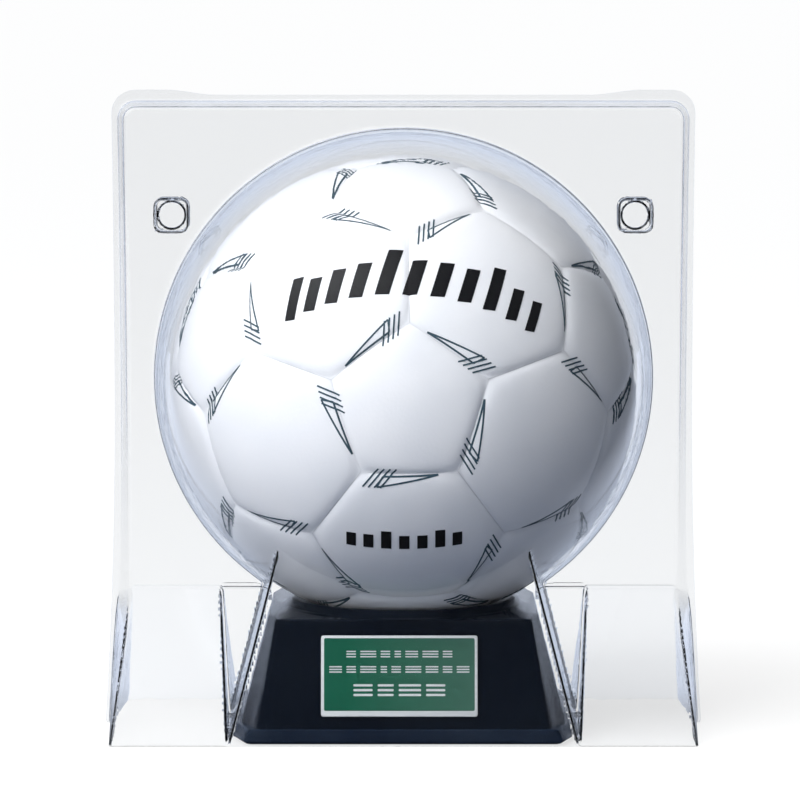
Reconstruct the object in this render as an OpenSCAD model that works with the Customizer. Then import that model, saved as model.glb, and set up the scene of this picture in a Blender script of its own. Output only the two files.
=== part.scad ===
// Clear two-half display case with a moulded stand, a nameplate and a 32-panel football.
// Millimetres. +Z up, the front faces -Y, the two case halves part at y = 0.
// The origin is the centre of the footprint, on the surface that the case stands on.

/* [Football] */
// Diameter of the ball
ball_d = 150; // [149:0.5:151]
// Height of the ball's centre
ball_z = 108.3; // [108:0.1:108.6]
// Thickness of the cover panels
panel_t = 1.6; // [1.2:0.1:2.0]
// Gap between neighbouring panels at a seam
seam_gap = 0.25; // [0.1:0.05:0.5]
// How far the front panel's centre looks up, in degrees
ball_pitch = 1; // [0:0.5:5]
// How far the front panel's centre looks to the right, in degrees
ball_yaw = 1.5; // [0:0.5:5]

/* [Case] */
// Thickness of the clear sheet
wall = 0.7; // [0.5:0.1:0.8]
// Outer radius of the dome round the ball
dome_r = 79.6; // [79.4:0.1:80.5]
// Height of the dome's centre
dome_z = 112; // [111.5:0.1:112.5]
// Distance from the parting plane to the flat panel's face
panel_y = 5; // [4.5:0.1:6]
// Height of the case walls, without the rim
case_h = 201.4; // [200:0.1:203]
// Height of the panel's top edge
panel_h = 198.9; // [197:0.1:199.5]
// Half widths of the walls at the parting plane: floor, foot top, waist, top
wall_floor = 95; // [94:0.1:96]
wall_foot = 92.8; // [92:0.1:93.5]
wall_waist = 91.5; // [91:0.1:92]
wall_top = 92.1; // [91.5:0.1:93]
// Half widths of the flat panel: floor, foot top, waist, top
panel_floor = 88; // [87:0.1:89]
panel_foot = 87.9; // [87:0.1:89]
panel_waist = 88.7; // [88:0.1:89]
panel_top = 89.4; // [89:0.1:90]
// Height of the waist
waist_z = 110; // [90:1:130]
// Radius of the walls' top corners
corner_r = 6.4; // [5:0.1:8]
// Radius of the panel's top corners
panel_corner_r = 4.2; // [3:0.1:5]

/* [Rim] */
// Width of the flat rim round each half
rim_w = 1.35; // [1:0.05:2]
// Extra height of the rim at the two top corners, where a finger pulls the halves apart
tab_rise = 1.6; // [1:0.1:2]

/* [Feet] */
// Height at which the feet leave the panel
foot_z = 44.4; // [42:0.1:46]
// Reach of the feet in front of and behind the parting plane
foot_y = 48; // [47.6:0.1:50]
// Half widths at the feet's inner and outer front edges: top, then floor
foot_in_top = 58.6; // [57:0.1:60]
foot_in_floor = 55.1; // [54:0.1:56]
foot_out_top = 87.6; // [86:0.1:88]
foot_out_floor = 92.4; // [91:0.1:93]

/* [Stand compartment] */
// Half width of the compartment's front face at the floor
bay_w = 55.2; // [55:0.1:56]
// How much the half width shrinks for each millimetre of height
bay_lean = 0.257; // [0.25:0.001:0.26]
// Extra half width at the parting plane
bay_draft = 1.6; // [1:0.1:3]

/* [Snaps] */
// Distance of each snap from the middle
snap_x = 74.3; // [72:0.1:76]
// Height of the snaps
snap_z = 164.3; // [163:0.1:168]
// Side of the square well round each snap
well_w = 10.6; // [10.4:0.1:11]
// Diameter of the snap's stud
stud_d = 9.6; // [9:0.1:9.8]

/* [Stand] */
// Half width and half depth of the base at the floor
base_w = 54; // [53.5:0.1:54.2]
base_d = 47; // [46.5:0.1:47]
// Height of the base's top
base_h = 5.2; // [4.5:0.1:6]
// Height of the stand's flat top
stand_h = 39; // [38:0.1:39.2]
// Height of the ball cup's rim
cup_h = 41.5; // [41:0.1:42]
// Thickness of the moulded walls
stand_wall = 2.2; // [1.8:0.1:2.6]

/* [Nameplate] */
// Width, height and thickness of the plate
plate_w = 49.2; // [45:0.1:52]
plate_h = 25.5; // [20:0.1:26]
plate_t = 0.8; // [0.5:0.1:0.8]
// Sideways place of the plate's centre
plate_x = -1.3; // [-2:0.1:2]

/* [Hidden] */

ball_r = ball_d / 2;
below = -2;             // how far outer and inner forms run under the floor before they are cut
past = 0.5;             // how far a cutting form runs past the parting plane
face_gap = 0.05;        // each half's rim stops this far from the parting plane
side_inset = 0.9;       // sheet thickness measured across the sloped walls, at the parting plane
edge_inset = 0.35;      // the same at the panel's edge
bay_top = 66;           // top of the compartment's form, inside the dome
corner_steps = 15;      // degrees between points on a rounded corner
cup_gap = 0.3;          // room between the ball and its cup
cup_rim_w = 1.9;        // width of the cup's rim
foot_slope = (foot_y - panel_y) / foot_z;
pad_r = 6;
pad_h = 1;
pad_proud = 0.5;        // the pads carry the stand this far off the surface
pad_places = [[-42, -36], [42, -36], [42, 36], [-42, 36]];
peg_r = 2;
peg_top = 13;
peg_fit = 0.06;
post_r = 4.4;
peg_places = [[-36, -30], [36, -30], [36, 30], [-36, 30]];
tape_t = 0.4;
plate_tilt = atan((45.2 - 39.3) / (stand_h - base_h));
plate_z = 21.5;
lining_t = 1;
bladder_t = 1;
skin_gap = 0.1;         // room between the ball's layers
valve_r = 3.8;
valve_len = 12.4;
valve_panel = 14;       // the hexagon that carries the valve, low at the back
golden_lat = 26.565;    // latitude of the five pentagons nearest a pole
hex_high_lat = 52.623;  // latitudes of the hexagons
hex_low_lat = 10.812;

clear_sheet = [0.86, 0.9, 0.97, 0.35];
black_moulding = [0.03, 0.04, 0.1];

// A solid through rings of points, one above the other, each anticlockwise seen from the last
module loft(rings) {
    n = len(rings[0]);
    last = len(rings) - 1;
    sides = [for (k = [0:last - 1], i = [0:n - 1])
        let (a = k * n + i, b = k * n + (i + 1) % n)
        each [[a, a + n, b + n], [a, b + n, b]]];
    first_cap = [for (i = [0:n - 1]) i];
    last_cap = [for (i = [n - 1:-1:0]) last * n + i];
    polyhedron(points = [for (r = rings) each r], faces = concat([first_cap], sides, [last_cap]));
}

// A value at height z that runs from at_top, at the feet's top, to at_floor
function along(at_top, at_floor, z) = at_top + (at_floor - at_top) * (foot_z - z) / foot_z;

// Outline of one half seen from the front, as [x, z] points, with the half widths given in w
function case_outline(w, top, r) = let (
    side = [[along(w[1], w[0], below), below], [w[1], foot_z], [w[2], waist_z]],
    corner = [for (a = [0:corner_steps:90]) [w[3] - r + r * cos(a), top - r + r * sin(a)]],
    right = concat(side, corner))
    concat(right, [for (i = [len(right) - 1:-1:0]) [-right[i][0], right[i][1]]]);

function at_y(outline, y) = [for (p = outline) [p[0], y, p[1]]];
function inset(w, d) = [for (v = w) v - d];

wall_widths = [wall_floor, wall_foot, wall_waist, wall_top];
panel_widths = [panel_floor, panel_foot, panel_waist, panel_top];

// The flat body of one half; t is 0 outside and the sheet's thickness inside
module slab(t) {
    a = t > 0 ? side_inset : 0;
    b = t > 0 ? edge_inset : 0;
    loft([
        at_y(case_outline(inset(wall_widths, a), case_h - a, corner_r - a), t > 0 ? past : 0),
        at_y(case_outline(inset(wall_widths, a), case_h - a, corner_r - a), -face_gap),
        at_y(case_outline(inset(panel_widths, b), panel_h - b, panel_corner_r - b), t - panel_y)]);
}

// A point on a foot's sloped front, or t behind it, measured square to the slope
function foot_front(x, z, t) = [x, t * sqrt(1 + pow(foot_slope, 2)) - panel_y - (foot_z - z) * foot_slope, z];

// The right foot of one half, a wedge that comes forward as it goes down
module foot(t) {
    a = t > 0 ? side_inset : 0;
    y = t > 0 ? past : 0;
    top = foot_z - t;
    inner_top = foot_in_top + 0.1;
    inner_low = along(inner_top, foot_in_floor + 1.1, below);
    loft([
        [[inner_low + a, y, below], [along(wall_foot, wall_floor, below) - a, y, below],
            [wall_foot - a, y, top], [inner_top + a, y, top]],
        [foot_front(along(foot_in_top, foot_in_floor, below) + t, below, t),
            foot_front(along(foot_out_top, foot_out_floor, below) - t, below, t),
            foot_front(foot_out_top - t, top, t), foot_front(foot_in_top + t, top, t)]]);
}

// The compartment of one half that stands round the stand
module bay(t) {
    y = t > 0 ? past : 0;
    low = bay_w - bay_lean * below - t;
    high = bay_w - bay_lean * bay_top - t;
    loft([
        [[-low - bay_draft, y, below], [low + bay_draft, y, below],
            [high + bay_draft, y, bay_top], [-high - bay_draft, y, bay_top]],
        [[-low, t - foot_y, below], [low, t - foot_y, below],
            [high, t - foot_y, bay_top], [-high, t - foot_y, bay_top]]]);
}

// Everything one half wraps round, outside (t = 0) or inside (t = wall)
module half_form(t) {
    slab(t);
    bay(t);
    foot(t);
    mirror([1, 0, 0]) foot(t);
    translate([0, 0, dome_z]) sphere(r = dome_r - t, $fn = 96);
}

// A rounded square bar from y = from_y forward to y = to_y
module square_well(w, r, from_y, to_y) {
    corners = [for (q = [0:3], a = [0:30:90])
        let (s = [[1, 1], [-1, 1], [-1, -1], [1, -1]][q])
        [s[0] * (w / 2 - r) + r * cos(a + 90 * q), s[1] * (w / 2 - r) + r * sin(a + 90 * q)]];
    translate([0, from_y, 0]) rotate([90, 0, 0])
        linear_extrude(height = from_y - to_y) polygon(corners);
}

module at_snaps() {
    for (side = [-1, 1]) translate([side * snap_x, 0, snap_z]) children();
}

// The flat rim, which rises a little at the two top corners
module rim() {
    w = inset(wall_widths, -rim_w);
    r = corner_r + rim_w;
    top = case_h + rim_w + tab_rise;
    edge = case_outline(w, top, r);
    half = len(edge) / 2;
    tab_in = 77;
    tab_out = 62;
    right = [for (i = [0:half - 1]) edge[i]];
    top_edge = [[tab_in, top], [tab_out, top - tab_rise], [-tab_out, top - tab_rise], [-tab_in, top]];
    left = [for (i = [half:len(edge) - 1]) edge[i]];
    translate([0, -face_gap, 0]) rotate([90, 0, 0]) linear_extrude(height = wall) difference() {
        polygon(concat(right, top_edge, left));
        polygon(case_outline(inset(wall_widths, side_inset), case_h - side_inset, corner_r - side_inset));
    }
}

// One thermoformed half, drawn as the front one, with the two snap wells let into its panel
module half_shell() {
    snap_floor = face_gap + wall;
    difference() {
        union() {
            difference() {
                half_form(0);
                difference() {
                    half_form(wall);
                    at_snaps() square_well(well_w + 2 * wall, 3, -face_gap, -panel_y - 1);
                }
                at_snaps() square_well(well_w, 2.3, -snap_floor, -panel_y - 1);
            }
            rim();
        }
        translate([-150, -face_gap, -50]) cube([300, 150, 300]);
        translate([-150, -150, -50]) cube([300, 300, 50]);
    }
}

module along_y(r, from_y, to_y) {
    translate([0, from_y, 0]) rotate([90, 0, 0]) cylinder(r = r, h = from_y - to_y, $fn = 48);
}

// Front half: its snap wells carry hollow studs that reach through the parting plane
module front_shell() color(clear_sheet) difference() {
    union() {
        half_shell();
        at_snaps() along_y(stud_d / 2, 1.75, -face_gap - wall / 2);
    }
    at_snaps() along_y(stud_d / 2 - wall, 1.75 - wall, -panel_y);
}

// Rear half: its snap wells carry the round sockets that take the studs
module rear_shell() color(clear_sheet) mirror([0, 1, 0]) difference() {
    union() {
        half_shell();
        at_snaps() along_y(stud_d / 2 + 0.8, -face_gap, -2.75);
    }
    at_snaps() along_y(stud_d / 2 + 0.2, past, -2.05);
}

// Eight-sided outline with the corners cut back by cut_w across and cut_d along
function octagon(w, d, cut_w, cut_d, z) = [
    [-w + cut_w, -d, z], [w - cut_w, -d, z], [w, -d + cut_d, z], [w, d - cut_d, z],
    [w - cut_w, d, z], [-w + cut_w, d, z], [-w, d - cut_d, z], [-w, -d + cut_d, z]];

// Tapered hollow moulding with the ball's cup in its top and four posts inside
module stand_body() color(black_moulding) {
    bottom = [51.4, 45.2, 5.6, 14.5];
    top = [42.9, 39.3, 2.6, 12.5];
    t = stand_wall;
    ring_r = sqrt(pow(ball_r + cup_gap, 2) - pow(ball_z - cup_h, 2)) + cup_rim_w;
    difference() {
        union() {
            loft([octagon(bottom[0], bottom[1], bottom[2], bottom[3], base_h),
                octagon(top[0], top[1], top[2], top[3], stand_h)]);
            translate([0, 0, stand_h - 1])
                cylinder(r1 = ring_r + 3.4, r2 = ring_r, h = cup_h - stand_h + 1, $fn = 96);
        }
        difference() {
            loft([octagon(bottom[0] - t, bottom[1] - t, bottom[2], bottom[3], base_h - 0.1),
                octagon(top[0] - t, top[1] - t, top[2], top[3], stand_h - t)]);
            translate([0, 0, ball_z]) sphere(r = ball_r + cup_gap + t, $fn = 96);
            for (p = peg_places) translate([p[0], p[1], base_h])
                cylinder(r = post_r, h = stand_h, $fn = 48);
        }
        translate([0, 0, ball_z]) sphere(r = ball_r + cup_gap, $fn = 96);
        for (p = peg_places) translate([p[0], p[1], base_h - 1])
            cylinder(r = peg_r + peg_fit, h = peg_top - base_h + 1.5, $fn = 48);
    }
}

// Base moulding that closes the stand from below; its pegs press into the posts
module stand_base() color(black_moulding) difference() {
    union() {
        loft([octagon(base_w - 1, base_d - 1, 4.6, 14, pad_proud),
            octagon(base_w, base_d, 4, 14, pad_proud + 1),
            octagon(base_w - 1.1, base_d - 0.6, 4.9, 14, base_h)]);
        for (p = peg_places) translate([p[0], p[1], base_h - 1])
            cylinder(r = peg_r, h = peg_top - base_h + 1, $fn = 48);
    }
    for (p = pad_places) translate([p[0], p[1], 0])
        cylinder(r = pad_r + 0.1, h = pad_h, $fn = 48);
}

module non_slip_pad(i) color([0.1, 0.1, 0.1])
    translate([pad_places[i - 1][0], pad_places[i - 1][1], 0]) cylinder(r = pad_r, h = pad_h, $fn = 48);

// Moves a flat piece onto the stand's sloped front face, its back lift millimetres off the face
module on_front_face(lift) {
    face_y = 45.2 - (plate_z - base_h) * tan(plate_tilt);
    translate([plate_x, -face_y, plate_z]) rotate([90 - plate_tilt, 0, 0]) translate([0, 0, lift]) children();
}

// Metal plate, with its corners rounded
module nameplate() color([0.05, 0.35, 0.25]) on_front_face(tape_t) linear_extrude(height = plate_t)
    union() {
        r = 0.8;
        square([plate_w - 2 * r, plate_h], center = true);
        square([plate_w, plate_h - 2 * r], center = true);
        for (x = [-1, 1], y = [-1, 1])
            translate([x * (plate_w / 2 - r), y * (plate_h / 2 - r)]) circle(r = r, $fn = 24);
    }

module nameplate_tape() color([0.9, 0.9, 0.88]) on_front_face(0)
    translate([1 - plate_w / 2, 1 - plate_h / 2, 0]) cube([plate_w - 2, plate_h - 2, tape_t]);

// Turns the ball's pole to the front, with one corner of the front pentagon straight up
module ball_frame() translate([0, 0, ball_z])
    rotate([-ball_pitch, 0, ball_yaw]) rotate([90, 0, 0]) rotate([0, 0, 18]) children();

module aim(lat, lon) rotate([0, 0, lon]) rotate([0, 90 - lat, 0]) children();

// A pyramid from the ball's centre through a regular outline of n corners, its sides moved in for the seam
module panel_cone(n, corner_angle, turn) {
    reach = ball_r * 1.3;
    flat_r = (reach * tan(corner_angle)) - (seam_gap / 2) / cos(180 / n) * reach / ball_r;
    ring = [for (i = [0:n - 1]) [flat_r * cos(turn + i * 360 / n), flat_r * sin(turn + i * 360 / n), reach]];
    small = [for (p = ring) p * 0.5];
    loft([small, ring]);
}

// Angles from a panel's centre to its corners, for a ball cut from a truncated icosahedron
edge_len = 1 / sqrt((58 + 18 * sqrt(5)) / 16);
pentagon_angle = asin(edge_len / (2 * sin(36)));
hexagon_angle = asin(edge_len);

module cover(r_out, t) difference() {
    sphere(r = r_out, $fn = 96);
    sphere(r = r_out - t, $fn = 96);
}

function pentagon_place(i) = i == 1 ? [90, 0, 0]
    : i <= 6 ? [golden_lat, 72 * (i - 2), 36]
    : i <= 11 ? [-golden_lat, 36 + 72 * (i - 7), 0]
    : [-90, 0, 0];

function hexagon_place(i) = i <= 5 ? [hex_high_lat, 36 + 72 * (i - 1)]
    : i <= 10 ? [hex_low_lat, 36 + 72 * (i - 6)]
    : i <= 15 ? [-hex_low_lat, 72 * (i - 11)]
    : [-hex_high_lat, 72 * (i - 16)];

module pentagon_panel(i) color([0.95, 0.95, 0.96]) ball_frame() {
    p = pentagon_place(i);
    intersection() {
        cover(ball_r, panel_t);
        aim(p[0], p[1]) panel_cone(5, pentagon_angle, p[2]);
    }
}

module valve_axis() {
    p = hexagon_place(valve_panel);
    aim(p[0], p[1]) children();
}

module hexagon_panel(i) color([0.95, 0.95, 0.96]) ball_frame() {
    p = hexagon_place(i);
    difference() {
        intersection() {
            cover(ball_r, panel_t);
            aim(p[0], p[1]) panel_cone(6, hexagon_angle, 30);
        }
        if (i == valve_panel) valve_axis() cylinder(r = valve_r + 0.1, h = ball_r + 5, $fn = 48);
    }
}

lining_r = ball_r - panel_t - skin_gap;
bladder_r = lining_r - lining_t - skin_gap;

// Cloth lining that the panels are bonded to
module ball_lining() color([0.85, 0.83, 0.78]) ball_frame() difference() {
    cover(lining_r, lining_t);
    valve_axis() cylinder(r = valve_r + 0.1, h = ball_r + 5, $fn = 48);
}

// Rubber bladder that holds the air
module ball_bladder() color([0.15, 0.15, 0.16]) ball_frame() difference() {
    cover(bladder_r, bladder_t);
    valve_axis() cylinder(r = valve_r + 0.1, h = ball_r + 5, $fn = 48);
}

// Rubber valve, with the hole that the pump's needle goes into
module ball_valve() color([0.2, 0.2, 0.2]) ball_frame() valve_axis() {
    top = ball_r - 0.4;
    difference() {
        translate([0, 0, top - valve_len]) cylinder(r = valve_r, h = valve_len, $fn = 48);
        translate([0, 0, top - 9]) cylinder(r = 0.7, h = 10, $fn = 24);
    }
}

front_shell();
rear_shell();
stand_body();
stand_base();
nameplate();
nameplate_tape();
for (i = [1:4]) non_slip_pad(i);
for (i = [1:12]) pentagon_panel(i);
for (i = [1:20]) hexagon_panel(i);
ball_lining();
ball_bladder();
ball_valve();
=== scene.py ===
import math

import bmesh
import bpy
import numpy as np
from mathutils import Matrix, Vector


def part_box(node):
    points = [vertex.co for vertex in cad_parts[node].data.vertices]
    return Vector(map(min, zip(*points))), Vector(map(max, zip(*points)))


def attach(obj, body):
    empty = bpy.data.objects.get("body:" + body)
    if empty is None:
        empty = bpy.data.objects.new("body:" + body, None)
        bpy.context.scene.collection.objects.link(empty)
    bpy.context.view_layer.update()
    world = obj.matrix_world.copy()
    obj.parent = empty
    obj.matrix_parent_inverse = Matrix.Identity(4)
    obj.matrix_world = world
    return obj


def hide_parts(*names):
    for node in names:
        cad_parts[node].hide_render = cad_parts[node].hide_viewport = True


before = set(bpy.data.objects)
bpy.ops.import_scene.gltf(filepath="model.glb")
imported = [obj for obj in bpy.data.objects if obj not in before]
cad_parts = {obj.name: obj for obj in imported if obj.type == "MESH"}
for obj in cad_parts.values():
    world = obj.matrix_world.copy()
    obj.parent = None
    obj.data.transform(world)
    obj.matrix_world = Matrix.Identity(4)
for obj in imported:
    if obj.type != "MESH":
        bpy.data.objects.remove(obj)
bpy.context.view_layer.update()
mm = 0.001

# ---------------------------------------------------------------------------------------------
# Camera. It stands about a metre and a half in front of the case, a little above it and a
# millimetre to the left, looks five degrees down and takes a long lens, so the walls hardly
# converge.
camera_away = 1450 * mm
camera_down = math.radians(5.22)
camera_height = 237.2 * mm
camera_left = 1.1 * mm

camera = bpy.data.objects.new("camera", bpy.data.cameras.new("camera"))
bpy.context.scene.collection.objects.link(camera)
camera.location = (-camera_left, -camera_away, camera_height)
camera.rotation_euler = (math.pi / 2 - camera_down, 0, 0)
camera.data.sensor_width = 36
camera.data.lens = 203.6
camera.data.clip_start = 0.05
camera.data.clip_end = 900
bpy.context.scene.camera = camera

# ---------------------------------------------------------------------------------------------
# Base of the stand. A low injection moulding in glossy near-black plastic. Its wall is upright
# over the lower lip, then leans in to the joint line where the body sits on it.
base_low, base_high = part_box("stand_base")
body_low, body_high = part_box("stand_body")
lip_top = base_low.z + 1.0 * mm
joint_z = body_low.z


def add_piece(name, points, faces, body, smooth=True):
    """A mesh piece in metres that rides on a body of the frame."""
    mesh = bpy.data.meshes.new(name)
    mesh.from_pydata([tuple(p) for p in points], [], [tuple(f) for f in faces])
    mesh.validate()
    mesh.update()
    if smooth:
        mesh.polygons.foreach_set("use_smooth", [True] * len(mesh.polygons))
    piece = bpy.data.objects.new(name, mesh)
    bpy.context.scene.collection.objects.link(piece)
    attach(piece, body)
    return piece


def face_outwards(piece):
    """Turns every face of a closed mesh to look out of it."""
    b = bmesh.new()
    b.from_mesh(piece.data)
    bmesh.ops.remove_doubles(b, verts=b.verts, dist=0.002 * mm)
    bmesh.ops.recalc_face_normals(b, faces=b.faces)
    b.to_mesh(piece.data)
    b.free()


def shade_by_angle(piece, degrees):
    """Smooth shading that breaks at edges sharper than the given angle."""
    bpy.context.view_layer.objects.active = piece
    for other in bpy.context.selected_objects:
        other.select_set(False)
    piece.select_set(True)
    bpy.ops.object.shade_smooth_by_angle(angle=math.radians(degrees))
    piece.select_set(False)


def cut_corner_ring(half_w, half_d, cut_w, cut_d, z, corner_r=1.0 * mm, steps=4):
    """A rectangle with its corners cut back, each of its eight corners rounded, at height z."""
    corners = [(half_w - cut_w, -half_d), (half_w, -half_d + cut_d),
               (half_w, half_d - cut_d), (half_w - cut_w, half_d),
               (-half_w + cut_w, half_d), (-half_w, half_d - cut_d),
               (-half_w, -half_d + cut_d), (-half_w + cut_w, -half_d)]
    arcs = []
    for i, corner in enumerate(corners):
        here = Vector(corner)
        to_last = (Vector(corners[i - 1]) - here).normalized()
        to_next = (Vector(corners[(i + 1) % 8]) - here).normalized()
        half_turn = to_last.angle(to_next) / 2
        reach = corner_r / math.tan(half_turn)
        start = here + to_last * reach
        end = here + to_next * reach
        shares = [k / steps for k in range(steps + 1)]
        arcs.append([start.lerp(here, t).lerp(here.lerp(end, t), t) for t in shares])
    ring = []
    for i, arc in enumerate(arcs):
        ring.extend(arc)
        parts = 16 if i % 2 else 4
        ring.extend(arc[-1].lerp(arcs[(i + 1) % 8][0], k / parts) for k in range(1, parts))
    return [(point.x, point.y, z) for point in ring]


def join_rings(rings):
    """A closed form: quads from each ring to the next, and one face over each end."""
    points = []
    faces = []
    count = len(rings[0])
    for ring in rings:
        points.extend(ring)
    for k in range(len(rings) - 1):
        for i in range(count):
            j = (i + 1) % count
            faces.append((k * count + i, k * count + j, (k + 1) * count + j, (k + 1) * count + i))
    faces.append(tuple(reversed(range(count))))
    faces.append(tuple(range(len(points) - count, len(points))))
    return points, faces


def rounded_levels(radius, steps):
    """Insets and rises up a small rounded edge, from 0 to its radius."""
    turns = [math.pi / 2 * k / steps for k in range(steps + 1)]
    return [(radius * (1 - math.cos(a)), radius * math.sin(a)) for a in turns]


def set_sockets(node, **values):
    """Sets a node's own sockets; an underscore in a name stands for a space."""
    for name, value in values.items():
        node.inputs[name.replace("_", " ")].default_value = value


def add_node(tree, kind, **values):
    """A shader node of the given kind with its sockets set."""
    node = tree.nodes.new("ShaderNode" + kind)
    set_sockets(node, **values)
    return node


def tone_ramp(tree, first, second, start=0.0, end=1.0):
    """A blend from one tone to another."""
    ramp = add_node(tree, "ValToRGB")
    for element, tone, place in zip(ramp.color_ramp.elements, (first, second), (start, end)):
        element.color = (*tone, 1)
        element.position = place
    return ramp


def new_finish(name):
    """An empty finish: its material, node tree and shader."""
    material = bpy.data.materials.new(name)
    material.use_nodes = True
    return material, material.node_tree, material.node_tree.nodes["Principled BSDF"]


def moulded_black(name, roughness, tone):
    """Near-black navy moulding: glossy, with faint flow marks and a little dust in its gloss."""
    material, tree, shader = new_finish(name)
    place = add_node(tree, "TexCoord")
    flow = add_node(tree, "TexNoise", Scale=55, Detail=4)
    tint = tone_ramp(tree, (0.0018 * tone, 0.0036 * tone, 0.0080 * tone),
                     (0.0036 * tone, 0.0060 * tone, 0.0110 * tone), 0.35, 0.70)
    gloss = add_node(tree, "MapRange", To_Min=roughness, To_Max=roughness + 0.10)
    dimples = add_node(tree, "TexNoise", Scale=1400)
    bump = add_node(tree, "Bump", Strength=0.03, Distance=0.0002)
    link = tree.links.new
    link(place.outputs["Object"], flow.inputs["Vector"])
    link(place.outputs["Object"], dimples.inputs["Vector"])
    link(flow.outputs["Fac"], tint.inputs["Fac"])
    link(tint.outputs["Color"], shader.inputs["Base Color"])
    link(flow.outputs["Fac"], gloss.inputs["Value"])
    link(gloss.outputs["Result"], shader.inputs["Roughness"])
    link(dimples.outputs["Fac"], bump.inputs["Height"])
    link(bump.outputs["Normal"], shader.inputs["Normal"])
    set_sockets(shader, IOR=1.46, Specular_IOR_Level=0.45)
    return material


base_edge_r = 0.5 * mm
base_cut_d = 14 * mm


def base_ring(in_w, in_d, cut_w, z):
    """The base's outline at height z, drawn in across and front to back."""
    return cut_corner_ring(base_high.x - in_w, base_high.y - in_d, cut_w, base_cut_d, z)


base_rings = [
    base_ring(1.0 * mm, 1.0 * mm, 4.6 * mm, base_low.z),
    base_ring(0.5 * mm, 0.5 * mm, 4.3 * mm, base_low.z + 0.25 * mm),
    base_ring(0.1 * mm, 0.1 * mm, 4.1 * mm, base_low.z + 0.7 * mm),
    base_ring(0, 0, 4.0 * mm, lip_top),
    base_ring(0.5 * mm, 0.3 * mm, 4.3 * mm, joint_z - 1.6 * mm),
    base_ring(0.9 * mm, 0.6 * mm, 4.6 * mm, joint_z - base_edge_r),
]
for inset, rise in rounded_levels(base_edge_r, 4)[1:]:
    base_rings.append(base_ring(0.9 * mm + inset, 0.6 * mm + inset, 4.6 * mm, joint_z - base_edge_r + rise))
stand_base = add_piece("stand_base_moulding", *join_rings(base_rings), "stand")
face_outwards(stand_base)
shade_by_angle(stand_base, 25)
base_plastic = moulded_black("base_black", 0.16, 3.0)
stand_base.data.materials.append(base_plastic)
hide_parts("stand_base")

# ---------------------------------------------------------------------------------------------
# Non-slip pads. Four rubber discs pressed into pockets in the base's underside; the stand's
# weight rests on them.
def speckled(name, grain, scale, first, second, roughness):
    """A finish whose colour wanders between two tones, over a grain of the given fineness."""
    material, tree, shader = new_finish(name)
    speckle = add_node(tree, "Tex" + grain, Scale=scale)
    tint = tone_ramp(tree, first, second)
    height = speckle.outputs["Distance" if grain == "Voronoi" else "Fac"]
    tree.links.new(height, tint.inputs["Fac"])
    tree.links.new(tint.outputs["Color"], shader.inputs["Base Color"])
    set_sockets(shader, Roughness=roughness)
    return material


def finish_cad_node(name, material):
    """Gives a node that stays as modelled its material."""
    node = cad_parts[name]
    node.data.materials.clear()
    node.data.materials.append(material)


pad_rubber = speckled("pad_rubber", "Noise", 900, (0.018, 0.018, 0.018), (0.050, 0.050, 0.052), 0.85)
for i in range(1, 5):
    finish_cad_node(f"non_slip_pad_{i}", pad_rubber)

# ---------------------------------------------------------------------------------------------
# Body of the stand. A hollow tapered moulding in the same glossy plastic, its four upright
# corners cut back, with a dished cup in its top that carries the ball. It presses on to the base.
ball_low, ball_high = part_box("ball_lining")
ball_centre = (ball_low + ball_high) / 2
ball_r = 75 * mm
cup_r = ball_r + 0.3 * mm
stand_top = 39 * mm
cup_top = body_high.z
foot_half_w = 51.4 * mm
foot_half_d = 45.2 * mm
top_half_w = 42.9 * mm
top_half_d = 39.3 * mm
edge_r = 0.9 * mm


def body_ring(t, inset, z):
    """The body's outline a share t of the way from its foot to its top, drawn in by inset."""
    def between(low, high):
        return low + (high - low) * t
    return cut_corner_ring(between(foot_half_w, top_half_w) - inset, between(foot_half_d, top_half_d) - inset,
                           between(5.6, 2.6) * mm, between(14.5, 12.5) * mm, z)


def round_ring(like, radius, z):
    """A circle with one point under each point of another ring."""
    return [(radius * x / math.hypot(x, y), radius * y / math.hypot(x, y), z) for x, y, _ in like]


body_rings = [body_ring(0, 0, joint_z)]
for t in (0.25, 0.5, 0.75):
    body_rings.append(body_ring(t, 0, joint_z + (stand_top - edge_r - joint_z) * t))
for inset, rise in rounded_levels(edge_r, 4):
    body_rings.append(body_ring(1, inset, stand_top - edge_r + rise))
outline = body_rings[-1]
rim_r = math.sqrt(cup_r ** 2 - (ball_centre.z - cup_top) ** 2)
rim_out = rim_r + 1.9 * mm
rim_steps = ((rim_out + 2.9 * mm, stand_top), (rim_out + 1.6 * mm, stand_top + 0.5 * mm),
             (rim_out + 0.5 * mm, cup_top - 0.5 * mm), (rim_out, cup_top - 0.12 * mm),
             (rim_out - 0.5 * mm, cup_top), (rim_r + 0.3 * mm, cup_top - 0.05 * mm))
for radius, z in rim_steps:
    body_rings.append(round_ring(outline, radius, z))
cup_angle = math.asin(rim_r / cup_r)
cup_rings = 12
for k in range(cup_rings):
    a = cup_angle * (1 - k / cup_rings) - 0.008
    body_rings.append(round_ring(outline, cup_r * math.sin(a), ball_centre.z - cup_r * math.cos(a)))
stand_body = add_piece("stand_body_moulding", *join_rings(body_rings), "stand")
face_outwards(stand_body)
shade_by_angle(stand_body, 24)
body_plastic = moulded_black("body_black", 0.09, 1.0)
stand_body.data.materials.append(body_plastic)
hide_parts("stand_body")

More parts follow.
